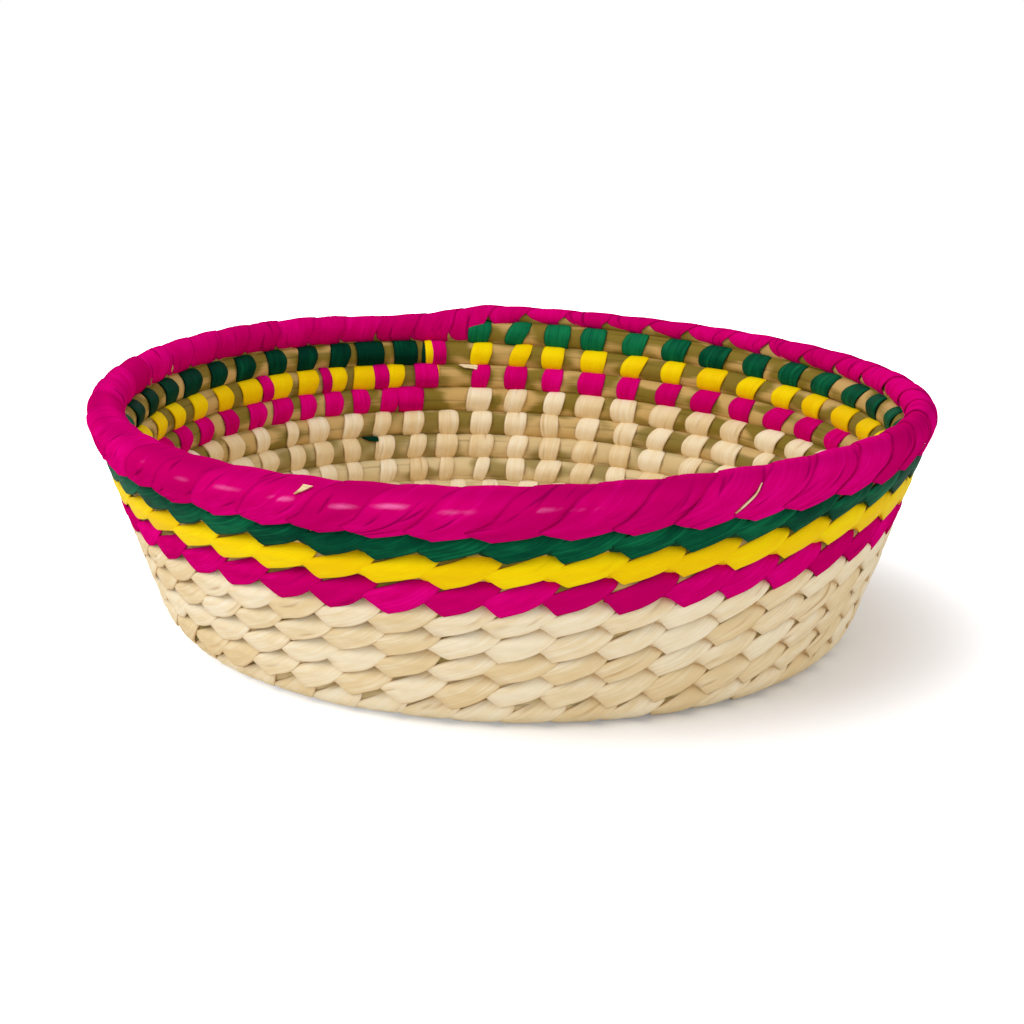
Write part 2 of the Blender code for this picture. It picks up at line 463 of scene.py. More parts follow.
THREAD_STATIONS = (
    Station((-0.01, -0.60, 1.06), (0.00, -0.60, 1.06), 5),
    Station((0.09, -0.24, 1.09), (0.12, -0.25, 1.09), 6),
    Station((0.26, 0.36, 1.07), (0.28, 0.35, 1.07), 6),
    Station((0.40, 0.76, 0.76), (0.405, 0.76, 0.76), 3),
)
FLECK_STATIONS = (
    Station((0.36, 0.74, 0.86), (0.38, 0.73, 0.87), 4),
    Station((0.44, 0.94, 0.62), (0.54, 0.92, 0.66), 4),
    Station((0.47, 1.06, 0.42), (0.64, 1.04, 0.46), 3),
)
# How far single leaves are moved along the row, by stitch count: their bands inside, and the rim's tips.
INSIDE_SHIFTS = {
    -48: 0.26, -47: 0.12, -46: 0.05, -96: 0.46, -95: 0.43, -94: 0.33, -93: 0.20, -92: 0.10,
    -144: 0.95, -143: 0.68, -142: 0.56, -141: 0.42, -140: 0.28, -139: 0.14,
}
RIM_SHIFTS = {21: -0.02, 22: -0.06, 23: -0.14, 24: -0.18, 25: -0.08, 26: -0.03, 28: -0.03, 29: -0.08}
# How much higher a dyed leaf's left and right edges lie, and what share of it each station takes.
LIFTS = {Colour.GREEN: (0.30, 0.20), Colour.YELLOW: (0.20, 0.26), Colour.MAGENTA: (0.10, -0.18)}
DYED_LIFT = np.array([[0.6, 0.6], [0.9, 0.9], [1.0, 1.0], [0.3, 0.8]])
STATIONS = {
    Wrap.WALL: WALL_STATIONS,
    Wrap.RIM: RIM_STATIONS,
    Wrap.BASE: BASE_STATIONS,
    Wrap.BAND: BAND_STATIONS,
    Wrap.SCRAP: SCRAP_STATIONS,
    Wrap.THREAD: THREAD_STATIONS,
    Wrap.FLECK: FLECK_STATIONS,
}


def flowing(points: Array, steps: Array, crisp: Array, stretch: float = 4.3) -> Array:
    """A smooth curve through points, which doesn't loop where they are close.

    Args:
        points: the points, one to a row
        steps: how many samples lead from each point to the next
        crisp: which points are corners
        stretch: the length of a stitch against the reach of a row

    Returns:
        the samples, with the last point at their end
    """
    ends = np.vstack([2 * points[:1] - points[1:2], points, 2 * points[-1:] - points[-2:-1]])
    lengths = np.linalg.norm(np.diff(ends, axis=0) * (stretch, 1, 1), axis=1)
    gaps = np.sqrt(np.maximum(lengths, 1e-5))[:, None]
    before, start, end, after = ends[:-3], ends[1:-2], ends[2:-1], ends[3:]
    g0, g1, g2 = gaps[:-2], gaps[1:-1], gaps[2:]
    leave = g1 * ((start - before) / g0 - (end - before) / (g0 + g1) + (end - start) / g1)
    arrive = g1 * ((end - start) / g1 - (after - start) / (g1 + g2) + (after - end) / g2)
    leave = np.where(crisp[:-1, None], end - start, leave)
    arrive = np.where(crisp[1:, None], end - start, arrive)
    count = steps[: len(points) - 1]
    share = np.concatenate([np.arange(n) / n for n in count])[:, None]
    start, end, leave, arrive = (np.repeat(a, count, axis=0) for a in (start, end, leave, arrive))
    curve = (2 * share**3 - 3 * share**2 + 1) * start + (share**3 - 2 * share**2 + share) * leave
    curve += (3 * share**2 - 2 * share**3) * end + (share**3 - share**2) * arrive
    return np.vstack([curve, points[-1:]])


@dataclass(frozen=True)
class Quirk:
    """One way in which the maker's hand is uneven from leaf to leaf.

    Args:
        axis: which way it moves them: ALONG the row, UP it or OUT of it
        first: the first of the stations that it moves
        shares: how much it moves each station from there on
        edges: how much it moves the left and the right edge
        mean: how far it moves them on average, in stitches or shares of the row's reach
        spread: how much that differs from leaf to leaf
        one_way: whether it always moves them the same way
        dyed: how strong it is on a dyed strip, 0 for not at all
        slack: whether it is only strong where the leaves are slack
    """

    axis: int
    first: int
    shares: tuple[float, ...]
    edges: tuple[float, float]
    mean: float
    spread: float
    one_way: bool = False
    dyed: float = 0.6
    slack: bool = False


ALONG, UP, OUT = 0, 1, 2
LEFT, RIGHT = (1, 0), (0, 1)
QUIRKS = {
    Wrap.WALL: (
        Quirk(UP, 1, (1, 1, 1), RIGHT, 0, 0.09),
        Quirk(ALONG, 1, (1, 1), RIGHT, -0.03, 0.05),
        Quirk(UP, 2, (1, 1, 1), LEFT, 0, 0.07),
        Quirk(OUT, 2, (1, 1, 1), RIGHT, 0, 0.03),
        Quirk(UP, 3, (1, 1, 1), RIGHT, 0.20, 0.14, one_way=True, slack=True),
        Quirk(OUT, 3, (1, 1), (-1, 0), 0, 0.04, one_way=True),
        Quirk(ALONG, 6, (-0.6, -0.5, 0, 0.5, 0.5), (1, 1), 0.06, 0.05, dyed=1),
        Quirk(ALONG, 6, (1, 1, 1, 1, 1), LEFT, 0, 0.04),
        Quirk(ALONG, 6, (1, 1, 1, 1, 1), RIGHT, 0.01, 0.05),
        Quirk(ALONG, 6, (1, 0, 0, 0, 1), (1, -1), 0.04, 0.03, one_way=True, dyed=0),
        Quirk(OUT, 8, (1,), (-1, 0), 0.02, 0.05, one_way=True, dyed=0),
        Quirk(OUT, 8, (1,), (0, -1), 0.02, 0.05, one_way=True, dyed=0),
    ),
    Wrap.RIM: (
        Quirk(UP, 1, (1, 1, 1), RIGHT, 0, 0.05, dyed=1),
        Quirk(ALONG, 3, (1, 1, 1, 1, 1), LEFT, 0.07, 0.04, dyed=1),
        Quirk(OUT, 3, (1, 1, 1, 1), LEFT, 0, 0.02, one_way=True, dyed=1),
    ),
}


@dataclass(frozen=True)
class Creasing:
    """How the leaves of a strip are creased lengthwise.

    Args:
        fewest: how few creases a leaf has
        limit: one more than the most that it has
        deepest: the depth of the deepest crease, in metres, before it is scaled
        width: of a crease, as a share of half the leaf's
        wander: how far a crease strays across the leaf in each metre
        scale: what its depth is multiplied by
        shallowest: the depth of the shallowest
        full: the depth at which the painted shade in a crease is as strong as its finish makes it
        reach: how far from the leaf's middle a crease starts, as a share of half its width
        fading: how quickly a crease comes and goes along the leaf, in radians for each metre
    """

    fewest: int
    limit: int
    deepest: float = 0.00015
    width: float = 0.14
    wander: float = 8
    scale: float = 1.0
    shallowest: float = 0.00003
    full: float = 0.00016
    reach: float = 0.85
    fading: tuple[float, float] = (150, 450)


RIM_CREASING = Creasing(3, 7, width=0.055, wander=14, scale=1.5)
CREASINGS = {
    Colour.NATURAL: Creasing(0, 4),
    Colour.MAGENTA: Creasing(0, 3),
    Colour.YELLOW: Creasing(0, 3, deepest=0.00009),
    Colour.GREEN: Creasing(0, 3),
}


@dataclass
class LeafStrip:
    """A strip of palm leaf wound round the bundle, once for each of its stitches.

    Args:
        coil: the path that it is wound on
        span: the stretch that it covers
        rng: where its unevenness comes from
        crown: by how much its middle stands above its edges
        widening: the width of a short band, as a share of the usual one
        place_spread: how unevenly its leaves are placed, in stitches
        width_spread: how much their widths differ, in stitches
        thickness: of the leaf, in metres
        across: how many mesh columns it has from edge to edge
        rim_across: how many more a wrap of the rim has
        rim_crown: how high the crown of a wrap of the rim is against the others
        puff: by how much such a wrap swells at its left, in metres
        fall: by how much it falls off at its right
        lip: the height of the lip at a leaf's right edge, and how much that differs
        ripple: the wavelength of its unevenness
        gaps: how much narrower the wraps are where the rim is thin, in stitches
        room: how close it comes to the row's middle, as a share of the row's reach
        easing: how gently it is kept from there, as the same share
        slack_angle: how far to the right of the front, in radians, its leaves leave the widest slits
        painted_glint_stitch: the stitch of the rim at which the painted highlights on its folds are strongest
        painted_glint_reach: how far from there those painted highlights reach, in stitches
    """

    coil: Coil
    span: StripSpan
    rng: np.random.Generator
    crown: float = 0.00052
    widening: float = 1.0
    place_spread: float = 0.022
    width_spread: float = 0.035
    thickness: float = 0.00034
    across: int = 17
    rim_across: int = 24
    rim_crown: float = 0.3
    puff: float = 0.00018
    fall: float = 0.00025
    lip: tuple[float, float] = (0.00008, 0.00014)
    ripple: float = 0.012
    gaps: float = 0.36
    room: float = 0.99
    easing: float = 0.03
    slack_angle: float = 0.85
    painted_glint_stitch: float = 21.5
    painted_glint_reach: float = 4.0

    @property
    def loose(self) -> bool:
        """Whether it is a single short piece."""
        return self.span.wrap not in (Wrap.BASE, Wrap.WALL, Wrap.RIM)

    @property
    def natural(self) -> bool:
        """Whether it is undyed."""
        return self.span.colour is Colour.NATURAL

    @property
    def rim(self) -> bool:
        """Whether it wraps the rim."""
        return self.span.wrap is Wrap.RIM

    @property
    def creasing(self) -> Creasing:
        """How its leaves are creased."""
        return RIM_CREASING if self.rim else CREASINGS[self.span.colour]

    def stitches(self) -> Array:
        """The stitch counts at which its leaves start."""
        ends = self.coil.stitch(np.array([self.span.start, self.span.end]))
        if self.loose:
            return ends[:1]
        first, last = np.ceil(ends - 0.01).astype(int)
        return np.arange(first, last)

    def stations(self) -> tuple[Array, Array, Array, Array]:
        """The places of its edges, with each stitch's own unevenness.

        Returns:
            the places of both edges, the mesh steps, the folds and the stitch of each place
        """
        table, starts, found = STATIONS[self.span.wrap], self.stitches(), []
        for start in starts:
            edges = np.array([[station.left, station.right] for station in table])
            self.vary(edges, int(start))
            edges[..., ALONG] += start + self.coil.first_corner + self.rng.normal(0, self.place_spread)
            found.append(edges)
        steps = np.tile([station.steps for station in table], len(starts))
        crisp = np.tile([station.crisp for station in table], len(starts))
        return np.vstack(found), steps, crisp, np.repeat(np.arange(len(starts)), len(table))

    def vary(self, edges: Array, stitch: int) -> None:
        """Gives one stitch its own width, slant and drop.

        Args:
            edges: the places of its left and right edges, changed here
            stitch: its count
        """
        wide = self.rng.normal(0, self.width_spread)
        if self.loose:
            wide = (edges[0, 1, ALONG] - edges[0, 0, ALONG]) * (self.widening - 1) / 1.4
        edges[..., ALONG] += np.array([-0.4, 1.0]) * wide
        angle = float(self.coil.angle(self.coil.turn(np.array(float(stitch)))))
        slack = math.exp(-((math.remainder(angle + self.slack_angle, math.tau) / 0.4) ** 2))
        for quirk in QUIRKS.get(self.span.wrap, ()):
            strength = (1.0 if self.natural else quirk.dyed) * (slack if quirk.slack else 1.0)
            if self.natural or quirk.dyed:
                draw = self.rng.normal(quirk.mean, quirk.spread)
                moved = (abs(draw) if quirk.one_way else draw) * strength
                stations = slice(quirk.first, quirk.first + len(quirk.shares))
                edges[stations, :, quirk.axis] += moved * np.outer(quirk.shares, quirk.edges)
        if self.span.wrap is Wrap.WALL:
            edges[0:4, :, UP] += DYED_LIFT * LIFTS.get(self.span.colour, (0.0, 0.0))
            edges[6:, :, ALONG] += INSIDE_SHIFTS.get(stitch, 0.0)
        if self.rim:
            edges[0:3, :, ALONG] += RIM_SHIFTS.get(stitch, 0.0)
            left_of_turn = self.coil.wall_stitches - stitch
            thin = self.gaps * float(ease((15 - left_of_turn) / 8) * ease(left_of_turn / 2))
            edges[8:11, 1, ALONG] -= np.array([0.4, 1.0, 1.0]) * thin

    def grid(self) -> tuple[Array, Array, Array, Array, Array]:
        """Its middle surface.

        Returns:
            the points in space, the bundle's middle beside each, the share across each from -1 to 1,
            each row's phase in its stitch from 0 to 1, and the number of each row's stitch
        """
        places, steps, crisp, number = self.stations()
        left, right = (flowing(places[:, edge], steps, crisp)[:, None, :] for edge in (0, 1))
        columns = self.across + (self.rim_across if self.rim else 0)
        across = np.linspace(-1, 1, columns)[None, :]
        share = ((across + 1) / 2)[..., None]
        along, up, out = np.moveaxis(left * (1 - share) + right * share, -1, 0)
        radius = np.hypot(up, out)
        lifted = (radius + self.room + np.sqrt((radius - self.room) ** 2 + self.easing**2)) / 2
        lifted = lifted / np.maximum(radius, 1e-6)
        turn = self.coil.turn(along)
        middle, tall, deep = self.coil.wrapped(turn)
        points = self.coil.point(turn, middle + up * tall * lifted, out * deep * lifted)
        middles = self.coil.point(turn, middle, np.zeros_like(out))
        counts = steps[:-1]
        inside = np.concatenate([np.arange(count) / count for count in counts])
        table = len(STATIONS[self.span.wrap])
        phase = (np.repeat(np.arange(len(counts)) % table, counts) + inside) / table
        stitch = np.append(np.repeat(number[:-1], counts), number[-1])
        return points, middles, np.broadcast_to(across, points.shape[:2]), np.append(phase, 1.0), stitch

    @staticmethod
    def normals(points: Array, middles: Array) -> Array:
        """The directions that face away from the bundle at each point of a middle surface.

        Args:
            points: the surface's points
            middles: the bundle's middle beside each

        Returns:
            the directions, each of length 1
        """
        normal = np.cross(np.gradient(points, axis=0), np.gradient(points, axis=1))
        normal /= np.maximum(np.linalg.norm(normal, axis=-1, keepdims=True), 1e-12)
        return -normal if ((points - middles) * normal).sum() < 0 else normal

    def crowned(self, side: Array) -> Array:
        """The height of its crown, which on the rim swells at the left and falls off at the right."""
        if not self.rim:
            return self.crown * (1 - side**4)
        swelling = self.puff * np.exp(-(((side + 0.42) / 0.42) ** 2))
        return self.crown * self.rim_crown * (1 - side**4) + swelling - self.fall * ease(side + 0.3)

    def rippled(self, along: Array, across: Array, terms: int = 6) -> Array:
        """Smooth random unevenness, as a sum of a few waves.

        Args:
            along: distances along the strip
            across: distances across it
            terms: how many waves are summed

        Returns:
            its height at each point, about -1 to 1
        """
        total = np.zeros(along.shape)
        for _ in range(terms):
            a, b = self.rng.normal(0, 1, 2)
            phase = self.rng.uniform(0, math.tau)
            total += np.sin(math.tau * (a * along / self.ripple + b * across / self.ripple) + phase)
        return total / math.sqrt(terms)

    def creased(self, run: Array, place: Array) -> Array:
        """The depth of the creases over one of its leaves.

        Args:
            run: distances along the strip
            place: shares across it from -1 to 1

        Returns:
            the depth at each point
        """
        rng, style = self.rng, self.creasing
        depth = np.zeros(run.shape)
        for _ in range(rng.integers(style.fewest, style.limit)):
            middle, wander = rng.uniform(-style.reach, style.reach), rng.normal(0, style.wander)
            deepest = rng.uniform(style.shallowest, style.deepest) * style.scale
            there = middle + wander * (run - run.mean())
            fade = (0.5 + 0.5 * np.sin(rng.uniform(0, 6) + run * rng.uniform(*style.fading))) ** 2
            depth += deepest * fade * np.exp(-(((place - there) / style.width) ** 2))
        return depth

    def painted_glint(self, phase: Array, place: Array, start: float) -> Array:
        """How strongly a painted highlight lies on the fold of one of the rim's wraps.

        Args:
            phase: the phase of each of its rows in the stitch
            place: shares across it from -1 to 1
            start: its stitch count

        Returns:
            the strength at each point
        """
        middle, fold = self.rng.uniform(-0.7, 0.1), self.rng.normal(0.425, 0.008)
        lit = math.exp(-(((start - self.painted_glint_stitch) / self.painted_glint_reach) ** 2))
        slant = phase[:, None] - 0.04 * place - fold
        spot = np.exp(-(((place - middle) / 0.40) ** 2 + (slant / 0.020) ** 2))
        return spot * self.rng.uniform(0.5, 1.1) * lit

    def relief(
        self, along: Array, side: Array, phase: Array, stitch: Array, across: Array
    ) -> tuple[Array, Array]:
        """The height of its crown, its folds and its creases over its middle surface.

        Args:
            along: distances along the strip
            side: shares across it from -1 to 1
            phase: each row's phase in its stitch
            stitch: the number of each row's stitch
            across: distances across it

        Returns:
            the heights, and how strongly painted shade darkens each crease, below 0 where a painted highlight
            lies on the rim's folds instead
        """
        height = self.crowned(side) + self.rippled(along, across) * (0.00007 if self.natural else 0.00004)
        # The second value is painted shade in the creases, and below 0 painted highlights on the rim's folds.
        crease = np.zeros(height.shape)
        for number, start in enumerate(self.stitches()):
            rows = stitch == number
            dent = self.creased(along[rows], side[rows])
            crease[rows] = dent / self.creasing.full
            if self.rim:
                crease[rows] -= self.painted_glint(phase[rows], side[rows], float(start))
            lip = max(0.0, self.rng.normal(*self.lip)) * (1.0 if self.natural else 0.5)
            height[rows] += lip * np.exp(-(((side[rows] - 0.92) / 0.16) ** 2)) - dent
        return height, crease

    def build(self) -> bpy.types.Object:
        """The strip as one closed sheet, with its lengthwise and crosswise measure in a UV map."""
        points, middles, side, phase, stitch = self.grid()
        columns = points.shape[1]
        lengths = np.linalg.norm(np.diff(points[:, columns // 2], axis=0), axis=1)
        along = np.repeat(np.concatenate([[0], np.cumsum(lengths)])[:, None], columns, axis=1)
        across = side * np.linalg.norm(points[:, -1] - points[:, 0], axis=1)[:, None] / 2
        normal = self.normals(points, middles)
        height, crease = self.relief(along, side, phase, stitch, across)
        top = points + normal * (height + self.thickness / 2)[..., None]
        bottom = points + normal * (height - self.thickness / 2)[..., None]
        name = self.span.name.replace("strip", "leaf").replace("wrap", "leaf")
        piece = tube(name, pressed(np.concatenate([top, bottom[:, ::-1]], axis=1)), sharp=55)
        offset = self.rng.uniform(0, 1)
        tone = self.rng.uniform(0, 1, int(stitch[-1]) + 1)
        if self.span.colour is Colour.GREEN:
            # Painted shade and light: the green leaves where the row starts, at the back left, are made its
            # darkest, and those at its end, at the back right, its palest.
            starts = self.stitches()
            tone = 0.35 + tone * 0.5 + 0.9 * (starts > -6) - 0.7 * (starts < -36)
        phases, tones = (np.repeat(value[:, None], columns, axis=1) for value in (phase, tone[stitch]))
        keep_uv(piece, both_faces(np.stack([along + offset, across], axis=-1)))
        keep(piece, "cast", "FLOAT_VECTOR", both_faces(np.stack([phases, side, tones], axis=-1)))
        # Keeps the painted shade of the creases, with the rim's painted highlights below 0.
        keep(piece, "crease", "FLOAT", both_faces(crease))
        return piece


def both_faces(values: Array) -> Array:
    """Values over a sheet, for its upper face and then back over its lower one."""
    return np.concatenate([values, values[:, ::-1]], axis=1)


def tube(name: str, rings: Array, sharp: float) -> bpy.types.Object:
    """A closed tube through rings of points.

    Args:
        name: its name
        rings: the points of each ring, one ring to a row
        sharp: the angle between faces, in degrees, from which an edge stays crisp

    Returns:
        the object
    """
    count, sides = rings.shape[:2]
    index = np.arange(count * sides).reshape(count, sides)
    here, there = index[:-1], index[1:]
    quads = np.stack([here, np.roll(here, -1, axis=1), np.roll(there, -1, axis=1), there], axis=-1)
    faces = [*quads.reshape(-1, 4), index[0, ::-1], index[-1]]
    return mesh_piece(name, rings.reshape(-1, 3), faces, sharp)


def mesh_piece(
    name: str, vertices: Array, faces: Sequence[Sequence[int]], sharp: float
) -> bpy.types.Object:
    """A smooth-shaded mesh object in the scene.

    Args:
        name: its name
        vertices: its points, in metres
        faces: the corners of each face
        sharp: the angle between faces, in degrees, from which an edge stays crisp

    Returns:
        the object
    """
    mesh = bpy.data.meshes.new(name)
    mesh.from_pydata(np.asarray(vertices).tolist(), [], [[int(i) for i in face] for face in faces])
    mesh.validate()
    mesh.update()
    mesh.polygons.foreach_set("use_smooth", [True] * len(mesh.polygons))
    mesh.set_sharp_from_angle(angle=math.radians(sharp))
    piece = bpy.data.objects.new(name, mesh)
    bpy.context.scene.collection.objects.link(piece)
    if volume_of(mesh) < 0:
        mesh.flip_normals()
    return piece


def volume_of(mesh: bpy.types.Mesh) -> float:
    """The signed volume of a closed mesh, below 0 where its faces look inwards."""
    mesh.calc_loop_triangles()
    corners = np.empty(len(mesh.vertices) * 3)
    mesh.vertices.foreach_get("co", corners)
    triangles = np.empty(len(mesh.loop_triangles) * 3, np.int32)
    mesh.loop_triangles.foreach_get("vertices", triangles)
    a, b, c = np.moveaxis(corners.reshape(-1, 3)[triangles.reshape(-1, 3)], 1, 0)
    return float(np.einsum("ij,ij->", a, np.cross(b, c)) / 6)


def keep_uv(piece: bpy.types.Object, uv: Array) -> None:
    """Keeps distances along and across the leaf, in metres, for each point of a mesh object."""
    corners = np.empty(len(piece.data.loops), np.int32)
    piece.data.loops.foreach_get("vertex_index", corners)
    layer = piece.data.uv_layers.new(name="leaf")
    layer.data.foreach_set("uv", uv.reshape(-1, 2)[corners].astype(np.float32).ravel())


def keep(piece: bpy.types.Object, name: str, kind: str, values: Array) -> None:
    """Keeps values of each point of a mesh object, for its finish to read.

    Args:
        piece: the object
        name: what the finish reads them by
        kind: FLOAT for numbers or FLOAT_VECTOR for three numbers a point
        values: the values
    """
    attribute = piece.data.attributes.new(name, kind, "POINT")
    field = "value" if kind == "FLOAT" else "vector"
    attribute.data.foreach_set(field, values.astype(np.float32).ravel())


@dataclass
class Foundation:
    """The bundle of palm fibres, one unbroken coil, fluted by its strands and drawn in by its stitches.

    Args:
        coil: its path
        sides: mesh corners round it
        strands: flutes round it
        wall_rings: mesh rings to a turn of the wall
        base_rings: mesh rings to a turn of the base
        slimness: its reach across the wall, as a share of its row's
        touch: by how much it reaches past its row's middle line to the next row, in metres
        pinch: how deep a stitch draws it in, as a share of its row's reach
        flute: how deep its flutes are, as the same share
        first_turn: the place of its first end, curled into the middle of the base
        first_reach: the reach of that end, as a share of its row's
        nose_rings: mesh rings of the round cap on that end
        nose_length: how long that cap is, as a share of the tube's reach there
        tip_taper: by how much the tail's tip is slimmer than its row
        rim_slimming: by how much the rim's bundle is slimmer, as a share
        stitch_length: the length of a stitch in the measure that the finish reads, in metres
        fibre_radius: the bundle's radius in that measure
    """

    coil: Coil
    sides: int = 36
    strands: int = 6
    wall_rings: int = 192
    base_rings: int = 60
    slimness: float = 0.95
    touch: float = 0.0007
    pinch: float = 0.05
    flute: float = 0.04
    first_turn: float = 0.1
    first_reach: float = 0.86
    nose_rings: int = 6
    nose_length: float = 1.6
    tip_taper: float = 0.92
    rim_slimming: float = 0.05
    stitch_length: float = 0.0144
    fibre_radius: float = 0.0042

    def nose(self, first: Array, second: Array) -> Array:
        """The round cap on the first end, which closes the middle of the base.

        Args:
            first: the points of the tube's first ring
            second: the points of its second ring

        Returns:
            the points of the cap's rings, from its tip on
        """
        middle = first.mean(axis=0)
        back = middle - second.mean(axis=0)
        back /= np.linalg.norm(back)
        size = np.linalg.norm(first - middle, axis=1).mean() * self.nose_length
        angle = np.linspace(math.radians(86), 0, self.nose_rings, endpoint=False)[:, None, None]
        return middle + (first - middle) * np.cos(angle) + back * size * np.sin(angle)

    def rings(self) -> Array:
        """The place of each mesh ring, with the cap's first."""
        coil = self.coil
        base = np.arange(self.first_turn, coil.wall_turn, 1 / self.base_rings)
        wall = np.arange(coil.wall_turn, coil.end_turn, 1 / self.wall_rings)
        end = coil.end_turn - 0.6 / coil.wall_stitches
        tip = np.full(self.nose_rings, self.first_turn)
        return np.concatenate([tip, base, wall[wall < end], [end]])

    def surface(self, around: Array, stitch: Array, phase: Array) -> tuple[Array, Array]:
        """How its strands and the stitches shape it.

        Args:
            around: the angles round it
            stitch: the stitch count of each ring
            phase: each ring's phase in its stitch

        Returns:
            its reach at each point as a share of its row's, and how far the point stands out of the flutes
        """
        drawn = sum(np.exp(-(((phase - middle) / 0.22) ** 2)) for middle in (0.23, 1.23))
        twist = 0.10 * stitch + 1.2 * np.sin(0.31 * stitch) + 0.8 * np.sin(0.83 * stitch + 1)
        ribs = np.abs(np.sin((self.strands * around + twist) / 2)) ** 0.8 - 0.6
        ribs = ribs * (1 + 0.5 * np.sin(2 * around + 0.7 * stitch))
        wander = 0.018 * np.sin(3 * around + 0.9 * stitch) + 0.015 * np.sin(2 * around - 1.7 * stitch)
        return self.slimness - self.pinch * drawn + self.flute * ribs + wander, ribs

    def build(self) -> bpy.types.Object:
        """The whole coil as one closed tube."""
        coil = self.coil
        turn = self.rings()[:, None]
        around = np.linspace(0, math.tau, self.sides, endpoint=False)[None, :]
        stitch = coil.stitch(turn)
        phase = np.mod(stitch - coil.first_corner, 1)
        radius, ribs = self.surface(around, stitch, phase)
        past = ease((turn - coil.rim_turn - 1) / coil.tail_share)
        grown = ease((turn - self.first_turn) / coil.start_turn)
        reach = coil.row_reach(turn) * (1 - self.tip_taper * past)
        reach = reach * (self.first_reach + (1 - self.first_reach) * grown)
        rim = ease((turn - coil.rim_turn) * coil.wall_stitches / 4)
        slim = 1 - self.rim_slimming * rim
        touch = (1 + self.touch / coil.row_reach(turn)) / slim
        tall = (touch - (touch - 0.94) * rim * (np.sin(around) > 0)) / self.slimness
        seat = (reach - coil.row_reach(turn)) * (turn > coil.rim_turn)
        up = np.sin(around) * radius * slim * tall * reach + seat
        out = np.cos(around) * radius * slim * reach
        points = coil.point(np.broadcast_to(turn, up.shape), up, out)
        points[: self.nose_rings] = self.nose(points[self.nose_rings], points[self.nose_rings + 1])
        piece = tube("palm_bundle", pressed(points), sharp=80)
        flat = np.zeros(up.shape)
        length = stitch * self.stitch_length + flat
        keep_uv(piece, np.stack([length, around * self.fibre_radius + flat], axis=-1))
        height = ease((turn - coil.wall_turn) / (coil.rim_turn - coil.wall_turn) * 1.2)
        keep(piece, "cast", "FLOAT_VECTOR", np.stack([phase + flat, ribs + flat, height + flat], axis=-1))
        return piece


Value = Union[float, "Signal"]
Settings = dict[str, Any]
Inputs = dict[Any, Any]


class Signal:
    """A number or colour that flows through a material, and takes part in Python's arithmetic."""

    def __init__(self, graph: "Graph", socket: bpy.types.NodeSocket) -> None:
        """Keeps the socket that the number comes from."""
        self.graph = graph
        self.socket = socket

    def __add__(self, other: Value) -> "Signal":
        """The sum."""
        return self.graph.math("ADD", self, other)

    __radd__ = __add__

    def __mul__(self, other: Value) -> "Signal":
        """The product."""
        return self.graph.math("MULTIPLY", self, other)

    __rmul__ = __mul__

    def __sub__(self, other: Value) -> "Signal":
        """The difference."""
        return self.graph.math("SUBTRACT", self, other)

    def __rsub__(self, other: Value) -> "Signal":
        """The difference, from a number."""
        return self.graph.math("SUBTRACT", other, self)

    def size(self) -> "Signal":
        """Its size without its sign."""
        return self.graph.math("ABSOLUTE", self)

    def ramp(self, low: float, high: float) -> "Signal":
        """Goes smoothly from 0 to 1 as it goes from low to high."""
        inputs = {0: self, 1: low, 2: high, 3: 0.0, 4: 1.0}
        return self.graph.signal("ShaderNodeMapRange", {"interpolation_type": "SMOOTHSTEP"}, inputs)


